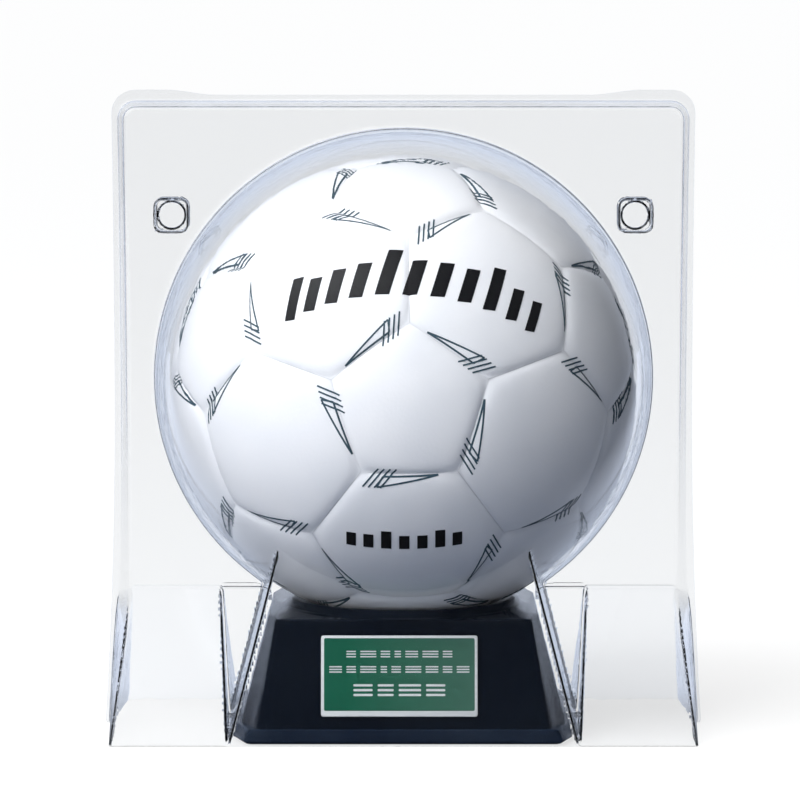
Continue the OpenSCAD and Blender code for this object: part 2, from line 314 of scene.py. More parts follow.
# ---------------------------------------------------------------------------------------------
# Nameplate. A thin aluminium plate held by double-sided tape on the stand's sloped front: bright
# bevelled edge, a green lacquered field, and three rows of small engraved strokes.
plate_low, plate_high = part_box("nameplate")
plate_mid_x = (plate_low.x + plate_high.x) / 2
plate_tilt = math.atan2(foot_half_d - top_half_d, stand_top - joint_z)
plate_w = 49.2 * mm
plate_h = 25.5 * mm
plate_t = 0.8 * mm
plate_mid_z = 21.5 * mm
plate_back = 0.4 * mm
front_at_plate = foot_half_d - (plate_mid_z - joint_z) * math.tan(plate_tilt)
plate_across = Vector((1, 0, 0))
plate_up = Vector((0, math.sin(plate_tilt), math.cos(plate_tilt)))
plate_out = Vector((0, -math.cos(plate_tilt), math.sin(plate_tilt)))
plate_origin = Vector((plate_mid_x, -front_at_plate, plate_mid_z)) + plate_out * plate_back


def on_plate(u, v, lift):
    """A point on the plate: u across, v up its face, lift out from its back."""
    return plate_origin + plate_across * u + plate_up * v + plate_out * lift


def rounded_rectangle(w, h, r, steps=4):
    """Points round a rectangle with rounded corners, anticlockwise."""
    points = []
    for qx, qy, start in ((1, 1, 0), (-1, 1, 90), (-1, -1, 180), (1, -1, 270)):
        for k in range(steps + 1):
            a = math.radians(start + 90 * k / steps)
            points.append((qx * (w / 2 - r) + r * math.cos(a), qy * (h / 2 - r) + r * math.sin(a)))
    return points


plate_bevel = 0.35 * mm
plate_rings = []
plate_steps = ((0, 0), (0, plate_t - plate_bevel), (0.1 * mm, plate_t - 0.1 * mm), (plate_bevel, plate_t))
for inset, lift in plate_steps:
    ring = rounded_rectangle(plate_w - 2 * inset, plate_h - 2 * inset, 0.8 * mm - inset)
    plate_rings.append([on_plate(u, v, lift) for u, v in ring])
nameplate = add_piece("nameplate_metal", *join_rings(plate_rings), "stand")
face_outwards(nameplate)
shade_by_angle(nameplate, 30)

plate_metal, metal_tree, metal_shader = new_finish("brushed_plate")
metal_place = add_node(metal_tree, "TexCoord")
metal_stretch = add_node(metal_tree, "Mapping", Scale=(60, 900, 900))
metal_lines = add_node(metal_tree, "TexNoise", Scale=2)
metal_tint = tone_ramp(metal_tree, (0.66, 0.68, 0.69), (0.86, 0.87, 0.87))
metal_tree.links.new(metal_place.outputs["Object"], metal_stretch.inputs["Vector"])
metal_tree.links.new(metal_stretch.outputs["Vector"], metal_lines.inputs["Vector"])
metal_tree.links.new(metal_lines.outputs["Fac"], metal_tint.inputs["Fac"])
metal_tree.links.new(metal_tint.outputs["Color"], metal_shader.inputs["Base Color"])
set_sockets(metal_shader, Metallic=0.2, Roughness=0.32)
nameplate.data.materials.append(plate_metal)
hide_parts("nameplate")

field_w = plate_w - 1.9 * mm
field_h = plate_h - 2.7 * mm
field_mid_v = 0.5 * mm


def raised_panel(outline_uv, low, high, bevel):
    """A thin raised shape on the plate with a small chamfer round its top."""
    count = len(outline_uv)
    mid_u = sum(u for u, _ in outline_uv) / count
    mid_v = sum(v for _, v in outline_uv) / count
    rings = []
    for inset, lift in ((0, low), (0, high - bevel), (bevel, high)):
        ring = []
        for u, v in outline_uv:
            keep = 1 - inset / math.hypot(u - mid_u, v - mid_v)
            ring.append(on_plate(mid_u + (u - mid_u) * keep, mid_v + (v - mid_v) * keep, lift))
        rings.append(ring)
    return join_rings(rings)


field_outline = [(u, v + field_mid_v) for u, v in rounded_rectangle(field_w, field_h, 0.5 * mm)]
field_low = plate_t - 0.02 * mm
field_high = plate_t + 0.06 * mm
field_form = raised_panel(field_outline, field_low, field_high, 0.03 * mm)
plate_field = add_piece("nameplate_field", *field_form, "stand", smooth=False)
face_outwards(plate_field)
field_lacquer, field_tree, field_shader = new_finish("green_lacquer")
field_place = add_node(field_tree, "TexCoord")
# The field's green is deepest at its left and turns lighter and greyer towards its right: a painted
# reflection laid over the lacquer's own green.
field_painted_reflection = add_node(field_tree, "TexGradient")
field_turn = add_node(field_tree, "Mapping", Location=(-0.15, 0, 0))
field_green_and_reflection = tone_ramp(field_tree, (0.010, 0.150, 0.085), (0.085, 0.200, 0.150))
field_tree.links.new(field_place.outputs["Generated"], field_turn.inputs["Vector"])
field_tree.links.new(field_turn.outputs["Vector"], field_painted_reflection.inputs["Vector"])
field_tree.links.new(field_painted_reflection.outputs["Fac"], field_green_and_reflection.inputs["Fac"])
field_tree.links.new(field_green_and_reflection.outputs["Color"], field_shader.inputs["Base Color"])
set_sockets(field_shader, Metallic=0.35, Roughness=0.33, Coat_Weight=0.5, Coat_Roughness=0.1)
plate_field.data.materials.append(field_lacquer)

stroke_points = []
stroke_faces = []


def add_stroke(u, v, w, h):
    """One small engraved and filled stroke, a bar on the field."""
    shape = [(u + a, v + b) for a, b in rounded_rectangle(w, h, min(w, h) * 0.3, 2)]
    points, faces = raised_panel(shape, plate_t + 0.04 * mm, plate_t + 0.10 * mm, 0.02 * mm)
    start = len(stroke_points)
    stroke_points.extend(points)
    stroke_faces.extend(tuple(start + i for i in face) for face in faces)


# Each row: how far up the plate, how tall, and the lengths of its strokes, in millimetres.
rows = [(6.9, 2.3, (3, 5, 3, 2, 4, 5, 3)), (2.1, 2.3, (4, 3, 5, 2, 3, 5, 4, 3, 4)), (-4.4, 4.2, (6, 5, 7, 6))]
for row_v, row_h, lengths in rows:
    gap = 1.1 + 0.12 * row_h
    stroke_h = 0.17 * row_h * mm
    mark_u = -(sum(lengths) + gap * (len(lengths) - 1)) / 2
    for length in lengths:
        for share in (-0.36, 0, 0.36):
            add_stroke((mark_u + length / 2) * mm, (row_v + share * row_h) * mm, length * mm, stroke_h)
        mark_u += length + gap
plate_strokes = add_piece("nameplate_strokes", stroke_points, stroke_faces, "stand", smooth=False)
face_outwards(plate_strokes)
plate_strokes.data.materials.append(plate_metal)

tape_foam = speckled("foam_tape", "Voronoi", 2500, (0.80, 0.80, 0.76), (0.66, 0.66, 0.62), 0.8)
finish_cad_node("nameplate_tape", tape_foam)

# ---------------------------------------------------------------------------------------------
# Inside of the ball. A rubber bladder holds the air, a woven lining keeps its shape, and a rubber
# valve passes through both and through one hexagon low at the back.
bladder_rubber = speckled("bladder_rubber", "Noise", 120, (0.010, 0.010, 0.012), (0.030, 0.030, 0.034), 0.55)
finish_cad_node("ball_bladder", bladder_rubber)
finish_cad_node("ball_valve", bladder_rubber)

lining_cloth = speckled("lining_cloth", "Wave", 700, (0.30, 0.31, 0.33), (0.50, 0.51, 0.53), 0.9)
set_sockets(lining_cloth.node_tree.nodes["Wave Texture"], Distortion=2)
finish_cad_node("ball_lining", lining_cloth)

# ---------------------------------------------------------------------------------------------
# Cover of the ball. Twelve pentagons and twenty hexagons of white synthetic leather with a foam
# back, turned in and bonded at their edges, so each panel is puffed and the seams lie in grooves.
golden_lat = 26.565
hex_high_lat = 52.623
hex_low_lat = 10.812
edge_share = 1 / math.sqrt((58 + 18 * math.sqrt(5)) / 16)
pentagon_angle = math.asin(edge_share / (2 * math.sin(math.radians(36))))
hexagon_angle = math.asin(edge_share)
ball_turn = (Matrix.Rotation(math.radians(1.5), 3, "Z") @ Matrix.Rotation(math.radians(-1), 3, "X")
             @ Matrix.Rotation(math.radians(90), 3, "X") @ Matrix.Rotation(math.radians(18), 3, "Z"))


def panel_turn(lat, lon):
    """Turns the ball's pole to a panel's centre."""
    return Matrix.Rotation(math.radians(lon), 3, "Z") @ Matrix.Rotation(math.radians(90 - lat), 3, "Y")


def panel_corners(lat, lon, count, angle, turn):
    """Directions from the ball's centre to the corners of one panel."""
    corners = []
    for k in range(count):
        a = math.radians(turn + 360 / count * k)
        out = Vector((math.sin(angle) * math.cos(a), math.sin(angle) * math.sin(a), math.cos(angle)))
        corners.append(ball_turn @ (panel_turn(lat, lon) @ out))
    return corners


panels = []
for i in range(1, 13):
    if i == 1 or i == 12:
        lat, lon, turn = (90 if i == 1 else -90), 0, 0
    elif i <= 6:
        lat, lon, turn = golden_lat, 72 * (i - 2), 36
    else:
        lat, lon, turn = -golden_lat, 36 + 72 * (i - 7), 0
    panels.append((f"pentagon_panel_{i}", panel_corners(lat, lon, 5, pentagon_angle, turn)))
for i in range(1, 21):
    band = (i - 1) // 5
    lat = (hex_high_lat, hex_low_lat, -hex_low_lat, -hex_high_lat)[band]
    lon = 72 * ((i - 1) % 5) + (36 if band < 2 else 0)
    panels.append((f"hexagon_panel_{i}", panel_corners(lat, lon, 6, hexagon_angle, 30)))

groove_depth = 1.15 * mm
groove_reach = 1.35 * mm
puff_depth = 0.28 * mm
puff_reach = 6.5 * mm
seam_half = 0.05 * mm
panel_back_r = ball_r - 1.6 * mm


def seam_planes(corners):
    """Unit normals of the planes through the ball's centre and each edge, pointing into the panel."""
    middle = sum(corners, Vector()).normalized()
    planes = []
    for i, corner in enumerate(corners):
        normal = corner.cross(corners[(i + 1) % len(corners)]).normalized()
        planes.append(normal if normal.dot(middle) > 0 else -normal)
    return planes


def cover_radius(direction, planes):
    """Distance from the ball's centre to the cover's surface: full in a panel's middle, less at its seams."""
    drop = 0
    for plane in planes:
        d = max(math.asin(max(-1, min(1, direction.dot(plane)))) * ball_r, 0)
        drop += groove_depth * math.exp(-d / groove_reach) + puff_depth * math.exp(-d / puff_reach)
    return ball_r - min(drop, groove_depth + puff_depth)


leather, leather_tree, leather_shader = new_finish("white_leather")
leather_place = add_node(leather_tree, "TexCoord")
leather_shade = add_node(leather_tree, "TexNoise", Scale=40)
leather_tint = tone_ramp(leather_tree, (0.80, 0.81, 0.84), (0.87, 0.87, 0.89), 0.3, 0.7)
leather_grain = add_node(leather_tree, "TexVoronoi", Scale=900)
leather_bump = add_node(leather_tree, "Bump", Strength=0.12, Distance=0.0002)
leather_tree.links.new(leather_place.outputs["Object"], leather_shade.inputs["Vector"])
leather_tree.links.new(leather_place.outputs["Object"], leather_grain.inputs["Vector"])
leather_tree.links.new(leather_shade.outputs["Fac"], leather_tint.inputs["Fac"])
leather_tree.links.new(leather_tint.outputs["Color"], leather_shader.inputs["Base Color"])
leather_tree.links.new(leather_grain.outputs["Distance"], leather_bump.inputs["Height"])
leather_tree.links.new(leather_bump.outputs["Normal"], leather_shader.inputs["Normal"])
set_sockets(leather_shader, Roughness=0.38, Coat_Weight=0.15, Coat_Roughness=0.25)

ring_shares = (0.12, 0.24, 0.36, 0.48, 0.59, 0.69, 0.775, 0.845, 0.90, 0.94, 0.968, 0.985, 0.995, 1.0)
edge_steps = 14
for name, corners in panels:
    planes = seam_planes(corners)
    middle = sum(corners, Vector()).normalized()
    rim = []
    for i, corner in enumerate(corners):
        after = corners[(i + 1) % len(corners)]
        for k in range(edge_steps):
            rim.append(corner.lerp(after, k / edge_steps).normalized())
    count = len(rim)
    shrink = 1 - seam_half / (ball_r * pentagon_angle)
    outer = [[middle.lerp(p, s * shrink).normalized() for p in rim] for s in ring_shares]
    points = [ball_centre + middle * cover_radius(middle, planes)]
    for ring in outer:
        points.extend(ball_centre + p * cover_radius(p, planes) for p in ring)
    skirt_start = len(points)
    points.extend(ball_centre + p * panel_back_r for p in outer[-1])
    points.append(ball_centre + middle * panel_back_r)
    faces = [(0, 1 + i, 1 + (i + 1) % count) for i in range(count)]
    for k in range(len(outer)):
        for i in range(count):
            j = (i + 1) % count
            a = 1 + k * count
            faces.append((a + i, a + count + i, a + count + j, a + j))
    last = len(points) - 1
    faces.extend((last, skirt_start + (i + 1) % count, skirt_start + i) for i in range(count))
    panel = add_piece(f"{name}_cover", points, faces, "ball")
    face_outwards(panel)
    shade_by_angle(panel, 50)
    panel.data.materials.append(leather)
    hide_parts(name)

# ---------------------------------------------------------------------------------------------
# Print on the ball. Thin ink laid over the leather: a row of bold slanted bars across the two upper
# hexagons, a row of short bars low on the front, and on every pentagon's edge an outlined dart
# with four ticks in slate blue.
plane_sets = [np.array([tuple(plane) for plane in seam_planes(corners)]) for _, corners in panels]
ink_lift = 0.11 * mm
ink_depth = 0.25 * mm


def cover_points(directions, lift):
    """Points on the cover, lifted off it, in the given directions from the ball's centre."""
    directions = np.array([tuple(d) for d in directions])
    best = np.full(len(directions), -1.0)
    radius = np.full(len(directions), ball_r)
    for planes in plane_sets:
        sine = directions @ planes.T
        inside = sine.min(1) > best
        d = np.maximum(np.arcsin(np.clip(sine, -1, 1)) * ball_r, 0)
        drop = (groove_depth * np.exp(-d / groove_reach) + puff_depth * np.exp(-d / puff_reach)).sum(1)
        radius = np.where(inside, ball_r - np.minimum(drop, groove_depth + puff_depth), radius)
        best = np.where(inside, sine.min(1), best)
    return directions * (radius + lift)[:, None] + np.array(ball_centre)


def tangent_frame(middle, along):
    """Unit vectors along and across a place on the ball."""
    side = (along - middle * along.dot(middle)).normalized()
    return side, middle.cross(side)


def ink_patch(store, middle, side, across, corners, steps):
    """A four-cornered patch of ink; its corners are millimetres along and across from middle."""
    grid = []
    for i in range(steps[0] + 1):
        a = i / steps[0]
        low = [corners[0][k] + (corners[1][k] - corners[0][k]) * a for k in (0, 1)]
        high = [corners[3][k] + (corners[2][k] - corners[3][k]) * a for k in (0, 1)]
        for j in range(steps[1] + 1):
            b = j / steps[1]
            u = (low[0] + (high[0] - low[0]) * b) * mm
            v = (low[1] + (high[1] - low[1]) * b) * mm
            grid.append((middle * ball_r + side * u + across * v).normalized())
    start = len(store["directions"])
    store["directions"].extend(grid)
    wide = steps[1] + 1
    for i in range(steps[0]):
        for j in range(steps[1]):
            a = start + i * wide + j
            store["quads"].append((a, a + wide, a + wide + 1, a + 1))
    rim = [start + i * wide for i in range(steps[0] + 1)]
    rim += [start + steps[0] * wide + j for j in range(1, wide)]
    rim += [start + i * wide + steps[1] for i in range(steps[0] - 1, -1, -1)]
    rim += [start + j for j in range(steps[1] - 1, 0, -1)]
    store["rims"].append(rim)


def ink_line(store, middle, side, across, start, end, width):
    """A straight printed line of even width."""
    run = math.hypot(end[0] - start[0], end[1] - start[1])
    nx = -(end[1] - start[1]) / run * width / 2
    ny = (end[0] - start[0]) / run * width / 2
    corners = ((start[0] - nx, start[1] - ny), (end[0] - nx, end[1] - ny),
               (end[0] + nx, end[1] + ny), (start[0] + nx, start[1] + ny))
    ink_patch(store, middle, side, across, corners, (max(round(run * 1.6), 2), 1))


def print_ink(name, store, material):
    """Turns the stored patches into one thin closed piece of ink on the ball."""
    count = len(store["directions"])
    top = cover_points(store["directions"], ink_lift)
    bottom = cover_points(store["directions"], -ink_depth)
    faces = list(store["quads"]) + [tuple(i + count for i in reversed(q)) for q in store["quads"]]
    for rim in store["rims"]:
        for i, a in enumerate(rim):
            b = rim[(i + 1) % len(rim)]
            faces.append((b, a, a + count, b + count))
    piece = add_piece(name, np.concatenate([top, bottom]), faces, "ball")
    face_outwards(piece)
    shade_by_angle(piece, 40)
    piece.data.materials.append(material)
    return piece


def print_colour(name, dark, light):
    """Matt printing ink with a little mottle in its colour."""
    ink = speckled(name, "Noise", 300, dark, light, 0.6)
    set_sockets(ink.node_tree.nodes["Principled BSDF"], Specular_IOR_Level=0.2)
    return ink


black_ink = print_colour("black_ink", (0.002, 0.002, 0.003), (0.010, 0.010, 0.013))
slate_ink = print_colour("slate_ink", (0.030, 0.060, 0.085), (0.060, 0.100, 0.125))


def new_store():
    """An empty store for patches of ink."""
    return {"directions": [], "quads": [], "rims": []}


upper = new_store()
upper_middle = Vector((0.047, -0.847, 0.53)).normalized()
upper_side, upper_across = tangent_frame(upper_middle, Vector((1, 0, 0)))
upper_bars = 11
upper_pitch = 8.6
upper_half = 2.3
upper_drop = 6
upper_lean = 0.28
for k in range(upper_bars):
    u = (k - (upper_bars - 1) / 2) * upper_pitch
    v = 0.6 - 0.0040 * u * u - 0.03 * u
    top = 6.0 if k % 4 else 10.0
    low_u = u - upper_lean * upper_drop
    high_u = u + upper_lean * top
    bar = ((low_u - upper_half, v - upper_drop), (low_u + upper_half, v - upper_drop),
           (high_u + upper_half, v + top), (high_u - upper_half, v + top))
    ink_patch(upper, upper_middle, upper_side, upper_across, bar, (12, 26))
print_ink("print_upper_bars", upper, black_ink)

lower = new_store()
lower_middle = Vector((0.003, -0.829, -0.559)).normalized()
lower_side, lower_across = tangent_frame(lower_middle, Vector((1, 0, 0)))
lower_bars = 7
lower_pitch = 5.6
lower_half = 1.6
lower_drop = 2.6
for k in range(lower_bars):
    u = (k - (lower_bars - 1) / 2) * lower_pitch
    top = 4.2 if k in (2, 5) else lower_drop
    bar = ((u - lower_half, -lower_drop), (u + lower_half, -lower_drop),
           (u + lower_half, top), (u - lower_half, top))
    ink_patch(lower, lower_middle, lower_side, lower_across, bar, (5, 8))
print_ink("print_lower_bars", lower, black_ink)

darts = new_store()
line_w = 0.52
dart = ((9.0, 0.5), (-10.2, 4.4), (-8.4, 1.0))
ticks = 4
tick_pitch = 1.9
for name, corners in panels:
    if not name.startswith("pentagon"):
        continue
    for i, corner in enumerate(corners):
        after = corners[(i + 1) % 5]
        middle = (corner + after).normalized()
        side, across = tangent_frame(middle, after - corner)
        if across.dot(sum(corners, Vector())) >= 0:
            across = -across
        for start, end in zip(dart, dart[1:] + dart[:1]):
            ink_line(darts, middle, side, across, start, end, line_w)
        for k in range(ticks):
            shift = tick_pitch * k
            ink_line(darts, middle, side, across, (shift - 14.8, 4.6), (shift - 9.8, -1.6), line_w)
print_ink("print_darts", darts, slate_ink)

# ---------------------------------------------------------------------------------------------
# The two halves of the case. Each is one sheet of clear plastic, 0.7 mm thick, heated and drawn
# over a mould: dome, flat panel, feet, the bay round the stand, the rim and the snaps are one skin.
# The mould's surface is given as a distance, in millimetres, for the front half; the rear half is
# the same skin turned to the back.
sheet_t = 0.7
rim_face = 0.75
waist_half = 91.5
waist_z = 110
panel_face = 5
panel_side = 87.6
dome_r = 79.55
dome_mid_z = 112
bay_depth = 48
bay_top = 66
foot_top = 44.4
foot_reach = 43
edge_round = 0.9
snap_mid_x = 74.3
snap_mid_z = 164.3
snap_half = 5.0
snap_corner_r = 2.3
stud_bore_r = 4.1
case_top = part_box("front_shell")[1].z / mm


def blend_in(a, b, r):
    """Two forms joined, with a hollow fillet of radius r where they meet."""
    fillet = np.hypot(np.maximum(r - a, 0), np.maximum(r - b, 0))
    return np.maximum(r, np.minimum(a, b)) - fillet


def cut_off(a, b, r):
    """What two forms share, with an edge rounded to radius r where one cuts the other."""
    fillet = np.hypot(np.maximum(r + a, 0), np.maximum(r + b, 0))
    return np.minimum(-r, np.maximum(a, b)) + fillet


def wall_half(z):
    """Half width of the case at the parting plane: waisted, and flared towards its feet."""
    below = np.maximum(1 - z / waist_z, 0)
    above = np.maximum(z / waist_z - 1, 0)
    return waist_half + 3.5 * below ** 2 + 0.87 * above ** 2


def rounded_outline(x, z, half, top, r):
    """Distance outside an upright outline that is open below and has rounded top corners."""
    u = np.abs(x) - half + r
    v = z - top + r
    return np.minimum(np.maximum(u, v), 0) + np.hypot(np.maximum(u, 0), np.maximum(v, 0)) - r


def rim_distance(x, z):
    """Distance outside the flat rim's edge; the rim rises to a pull tab near each top corner."""
    tab = np.clip((np.abs(x) - 60) / 16, 0, 1)
    top = case_top - 1.6 + 1.6 * tab * tab * (3 - 2 * tab)
    return rounded_outline(x, z, wall_half(z) + 1.3, top, 7.5)


def dome_form(x, depth, z):
    """The half dome round the ball."""
    return np.sqrt(x ** 2 + depth ** 2 + (z - dome_mid_z) ** 2) - dome_r


def slab_form(x, depth, z):
    """The flat panel and its drafted edge; below the feet's top the panel steps back a little."""
    draft = depth / panel_face
    panel_half = panel_side + 0.009 * z
    half = wall_half(z) + (panel_half - wall_half(z)) * draft
    top = 201.4 - 2.5 * draft
    face = panel_face - 0.45 * np.clip((foot_top + 0.3 - z) / 0.5, 0, 1)
    return cut_off(rounded_outline(x, z, half, top, 6.4 - 2.2 * draft) * 0.85, depth - face, edge_round)


def bay_form(x, depth, z):
    """The upright compartment round the stand."""
    half = 55.2 - 0.257 * z + 1.6 * (1 - depth / bay_depth)
    side = (np.abs(x) - half) * 0.97
    return cut_off(cut_off(side, depth - bay_depth, edge_round), z - bay_top, edge_round)


def foot_form(x, depth, z):
    """The two feet, wedges that come forward as they go down."""
    drop = (foot_top - z) / foot_top
    front = panel_face + foot_reach * drop
    reach = np.clip(depth / np.maximum(front, 3), 0, 1.2)
    outer = wall_half(z) + (panel_side + 4.8 * drop - wall_half(z)) * reach
    back_inner = 58.7 - 2.5 * drop
    inner = back_inner + (58.6 - 3.5 * drop - back_inner) * reach
    across = np.maximum(np.abs(x) - outer, inner - np.abs(x)) * 0.97
    return cut_off(across, (depth - front) * 0.72, edge_round)


def snap_square(x, z):
    """Distance outside the rounded squares of the two snap wells."""
    u = np.abs(np.abs(x) - snap_mid_x) - snap_half + snap_corner_r
    v = np.abs(z - snap_mid_z) - snap_half + snap_corner_r
    outside = np.hypot(np.maximum(u, 0), np.maximum(v, 0))
    return np.minimum(np.maximum(u, v), 0) + outside - snap_corner_r


def sheet_distance(x, y, z, snap):
    """Distance in front of the drawn sheet's face, negative behind it."""
    depth = -y
    form = blend_in(dome_form(x, depth, z), slab_form(x, depth, z), 2.0)
    form = blend_in(form, bay_form(x, depth, z), 0.7)
    form = blend_in(form, foot_form(x, depth, z), 0.6)
    form = blend_in(form, depth - rim_face, 0.8)
    well_floor = rim_face if snap == "stud" else 2.75
    well = np.maximum(snap_square(x, z), well_floor - depth)
    form = cut_off(form, -well, 0.45)
    if snap == "stud":
        bore_side = np.hypot(np.abs(x) - snap_mid_x, z - snap_mid_z) - stud_bore_r
        bore = np.maximum(bore_side, -1.05 - depth)
        form = cut_off(form, -bore, 0.3)
    return form


def slope(distance, p):
    """Direction in which a distance grows fastest, at each point."""
    step = 0.02
    grown = []
    for axis in range(3):
        ahead = p.copy()
        behind = p.copy()
        ahead[:, axis] += step
        behind[:, axis] -= step
        grown.append((distance(*ahead.T) - distance(*behind.T)) / (2 * step))
    return np.stack(grown, 1)


def grid_lines(stops):
    """Lines from stop to stop, each stretch with its own spacing."""
    lines = [stops[0][0]]
    for (start, spacing), (end, _) in zip(stops, stops[1:]):
        n = max(round((end - start) / spacing), 1)
        lines.extend(start + (end - start) * (k + 1) / n for k in range(n))
    return np.array(lines)


def skin_over(distance, xs, ys, zs):
    """A net of quads over the surface where the distance is zero."""
    grids = np.meshgrid(xs, ys, zs, indexing="ij")
    value = distance(*grids)
    cells = tuple(n - 1 for n in value.shape)
    total = np.zeros(cells + (3,))
    hits = np.zeros(cells)
    crossings = []
    for axis in range(3):
        low = np.take(value, range(value.shape[axis] - 1), axis)
        high = np.take(value, range(1, value.shape[axis]), axis)
        crossed = np.argwhere((low < 0) != (high < 0))
        a = low[tuple(crossed.T)]
        b = high[tuple(crossed.T)]
        lines = (xs, ys, zs)
        spot = np.stack([lines[k][crossed[:, k]] for k in range(3)], 1).astype(float)
        step = lines[axis][crossed[:, axis] + 1] - lines[axis][crossed[:, axis]]
        spot[:, axis] += step * a / (a - b)
        others = [k for k in range(3) if k != axis]
        inside = np.all([(crossed[:, k] > 0) & (crossed[:, k] < value.shape[k] - 1) for k in others], 0)
        around = []
        for s, t in ((-1, -1), (0, -1), (0, 0), (-1, 0)):
            cell = crossed.copy()
            cell[:, others[0]] += s
            cell[:, others[1]] += t
            good = np.all((cell >= 0) & (cell < np.array(cells)), 1)
            np.add.at(total, tuple(cell[good].T), spot[good])
            np.add.at(hits, tuple(cell[good].T), 1)
            around.append(cell[inside])
        flip = (a[inside] < 0) != (axis == 1)
        crossings.append((around, flip))
    index = -np.ones(cells, int)
    index[hits > 0] = np.arange(np.count_nonzero(hits))
    points = total[hits > 0] / hits[hits > 0][:, None]
    quads = []
    for around, flip in crossings:
        quad = np.stack([index[tuple(cell.T)] for cell in around], 1)
        quad[flip] = quad[flip][:, ::-1]
        quads.append(quad)
    for _ in range(5):
        grow = slope(distance, points)
        short = (distance(*points.T) / np.maximum((grow ** 2).sum(1), 0.05))[:, None] * grow
        points = points - np.clip(short, -0.8, 0.8)
    return points, np.concatenate(quads)


fine = 0.85
plain = 1.9
across_lines = grid_lines([(0, plain), (42, 0.65), (57, 1.1), (69, fine), (80, 1.3), (86, fine), (98, 1)])
grid_x = np.concatenate([-across_lines[:0:-1], across_lines])
grid_y = grid_lines([(-82, plain), (-50, 0.5), (-46, plain), (-7, 0.55), (2, 1)])
grid_z = grid_lines([(-1.6, plain), (43.2, 0.35), (45.4, plain), (157, fine), (171, plain), (196, fine),
                     (206, 1)])


def drawn_half(name, body, snap, turn):
    """One half of the case as a closed thin sheet; turn is 1 for the front and -1 for the rear."""
    def distance(x, y, z):
        return sheet_distance(x, y, z, snap)
    points, quads = skin_over(distance, grid_x, grid_y, grid_z)
    middles = points[quads].mean(1)
    quads = quads[(rim_distance(middles[:, 0], middles[:, 2]) < 0) & (middles[:, 1] < 1.9)]
    b = bmesh.new()
    corners = [b.verts.new(p) for p in points]
    for quad in quads:
        b.faces.new([corners[i] for i in quad])
    bmesh.ops.delete(b, geom=[v for v in b.verts if not v.link_faces], context="VERTS")
    bmesh.ops.bisect_plane(b, geom=b.verts[:] + b.edges[:] + b.faces[:], plane_co=(0, 0, 0),
                           plane_no=(0, 0, 1), clear_inner=True)
    for vert in b.verts:
        if vert.is_boundary and abs(vert.co.z) > 1e-4:
            for _ in range(4):
                x, y, z = vert.co
                d = float(rim_distance(x, z))
                gx = float(rim_distance(x + 0.01, z) - d) / 0.01
                gz = float(rim_distance(x, z + 0.01) - d) / 0.01
                vert.co.x -= d * gx / max(gx * gx + gz * gz, 0.1)
                vert.co.z -= d * gz / max(gx * gx + gz * gz, 0.1)
    bmesh.ops.remove_doubles(b, verts=b.verts, dist=0.12)
    b.verts.index_update()
    front = np.array([v.co for v in b.verts])
    grow = slope(distance, front)
    normal = grow / np.linalg.norm(grow, axis=1)[:, None]
    on_floor = front[:, 2] < 1e-3
    inward = normal.copy()
    inward[on_floor, 2] = 0
    inward[on_floor] /= (inward[on_floor] ** 2).sum(1)[:, None]
    back = front - inward * sheet_t
    n = len(front)
    faces = [[v.index for v in f.verts] for f in b.faces]
    closed = [list(f) for f in faces] + [[i + n for i in reversed(f)] for f in faces]
    side_start = len(closed)
    for edge in b.edges:
        if edge.is_boundary:
            loop = edge.link_loops[0]
            i = loop.vert.index
            j = loop.link_loop_next.vert.index
            closed.append([j, i, i + n, j + n])
    b.free()
    both = np.concatenate([front, back])
    both_normals = np.concatenate([normal, -normal])
    both[:, 2] = np.maximum(both[:, 2], 0)
    both[:, 1] *= turn
    both_normals[:, 1] *= turn
    if turn < 0:
        closed = [f[::-1] for f in closed]
    mesh = bpy.data.meshes.new(name)
    mesh.from_pydata((both * mm).tolist(), [], closed)
    mesh.update()
    first = mesh.polygons[0]
    if np.dot(first.normal, both_normals[first.vertices[0]]) < 0:
        mesh.flip_normals()
    mesh.polygons.foreach_set("use_smooth", [True] * len(mesh.polygons))
    shade = np.empty((len(mesh.loops), 3))
    for poly in mesh.polygons:
        for k in poly.loop_indices:
            if poly.index < side_start:
                shade[k] = both_normals[mesh.loops[k].vertex_index]
            else:
                shade[k] = poly.normal
    mesh.normals_split_custom_set(shade.tolist())
    piece = bpy.data.objects.new(name, mesh)
    bpy.context.scene.collection.objects.link(piece)
    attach(piece, body)
    return piece


front_half = drawn_half("front_half_sheet", "front_half", "stud", 1)
rear_half = drawn_half("rear_half_sheet", "rear_half", "socket", -1)

clear_sheet = bpy.data.materials.new("clear_sheet")
clear_sheet.use_nodes = True
sheet_tree = clear_sheet.node_tree
sheet_tree.nodes.clear()
sheet_out = add_node(sheet_tree, "OutputMaterial")
sheet_glass = add_node(sheet_tree, "BsdfPrincipled", Transmission_Weight=1, IOR=1.42, Roughness=0.02)
sheet_edge = add_node(sheet_tree, "LayerWeight", Blend=0.5)
sheet_tint = tone_ramp(sheet_tree, (0.972, 0.978, 0.984), (0.16, 0.26, 0.62), 0.30)
for turn, colour in ((0.60, (0.94, 0.955, 0.98, 1)), (0.86, (0.84, 0.885, 0.965, 1)),
                     (0.96, (0.80, 0.85, 0.95, 1))):
    sheet_tint.color_ramp.elements.new(turn).color = colour
sheet_haze = add_node(sheet_tree, "TexNoise", Scale=35)
sheet_wave = add_node(sheet_tree, "Bump", Strength=0.02, Distance=0.001)
sheet_open = add_node(sheet_tree, "BsdfTransparent", Color=(0.975, 0.98, 0.985, 1))
sheet_ray = add_node(sheet_tree, "LightPath")
sheet_mix = add_node(sheet_tree, "MixShader")
sheet_tree.links.new(sheet_edge.outputs["Facing"], sheet_tint.inputs["Fac"])
sheet_tree.links.new(sheet_tint.outputs["Color"], sheet_glass.inputs["Base Color"])
sheet_tree.links.new(sheet_haze.outputs["Fac"], sheet_wave.inputs["Height"])
sheet_tree.links.new(sheet_wave.outputs["Normal"], sheet_glass.inputs["Normal"])
